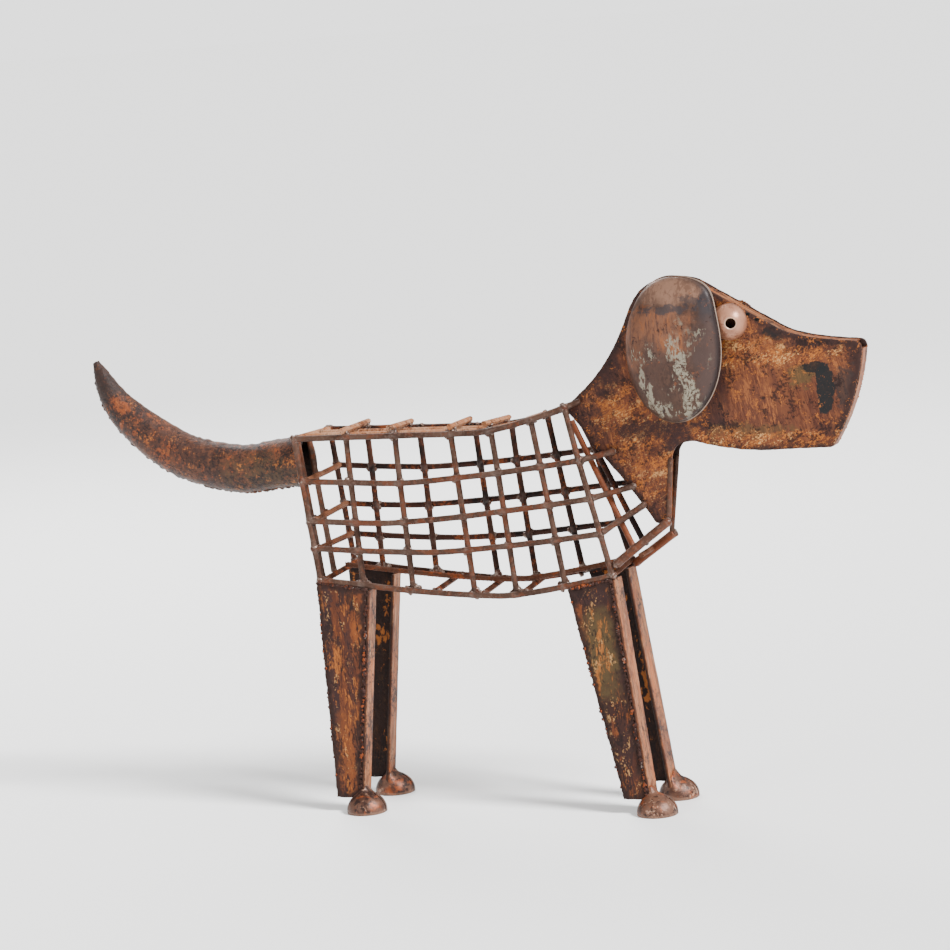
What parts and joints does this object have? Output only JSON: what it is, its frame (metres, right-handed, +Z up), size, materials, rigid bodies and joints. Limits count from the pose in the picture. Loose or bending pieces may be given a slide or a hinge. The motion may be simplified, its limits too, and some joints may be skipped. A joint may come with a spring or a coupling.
{
  "type": "scrap metal dog sculpture",
  "caption": "Standing dog statue welded from scrap steel: open rod cage body, cut-plate head with dish ears, curved horn tail and tapered plate legs on domed feet.",
  "frame": {"origin": "on the floor, below the middle of the whole sculpture's bounding box", "axes": "+X from tail to nose, +Y to the dog's left side, +Z up"},
  "size_m": [0.8206, 0.124, 0.5302],
  "materials": {
    "rod": "round mild steel rod, grey-brown with thin rust",
    "ribbed": "ribbed reinforcing bar with tan and orange rust",
    "plate": "flame-cut plate, orange-brown rust with dark purple-brown edges",
    "bar": "flat bar, pinkish-tan rust with dark weld crust",
    "ear": "dished sheet, grey-brown rust with remains of pale paint",
    "eye": "half ball with a drilled pupil, smooth pinkish-brown patina",
    "horn": "rolled sheet, dark brown with mottled orange rust",
    "foot": "solid dome, worn taupe-brown patina"
  },
  "bodies": {
    "root": {"side_grille_right": "rod", "side_grille_left": "rod", "rump_upright_outer": "rod", "rump_upright_middle": "rod", "rump_bar_0": "ribbed", "rump_bar_1": "ribbed", "rump_bar_2": "ribbed", "rump_bar_3": "ribbed", "rump_bar_4": "ribbed", "back_bar_1": "ribbed", "back_bar_2": "ribbed", "back_bar_3": "ribbed", "back_bar_4": "ribbed", "back_bar_5": "ribbed", "spine_bar_left": "ribbed", "spine_bar_right_rear": "ribbed", "spine_bar_right_middle": "ribbed", "spine_bar_right_front": "ribbed", "belly_bar_1": "ribbed", "belly_bar_2": "ribbed", "belly_bar_3": "ribbed", "belly_spine_bar": "ribbed", "chest_bar": "ribbed", "neck_brace_1_right": "rod", "neck_brace_2_right": "rod", "neck_brace_3_right": "rod", "low_brace_right": "rod", "neck_brace_1_left": "rod", "neck_brace_2_left": "rod", "neck_brace_3_left": "rod", "low_brace_left": "rod", "chest_rod_right": "rod", "chest_rod_left": "rod", "chest_cross_bar": "ribbed", "head_plate_right": "plate", "head_plate_left": "plate", "nape_strip": "bar", "brow_strip": "bar", "muzzle_strip": "bar", "jaw_strip": "bar", "neck_front_strip": "bar", "ear_right": "ear", "ear_left": "ear", "eye_right": "eye", "eye_left": "eye", "tail_horn": "horn", "hind_leg_plate_right": "plate", "hind_leg_bar_right": "bar", "hind_foot_right": "foot", "hind_leg_plate_left": "plate", "hind_leg_bar_left": "bar", "hind_foot_left": "foot", "fore_leg_plate_right": "plate", "fore_leg_bar_right": "bar", "fore_foot_right": "foot", "fore_leg_plate_left": "plate", "fore_leg_bar_left": "bar", "fore_foot_left": "foot"}
  },
  "joints": []
}
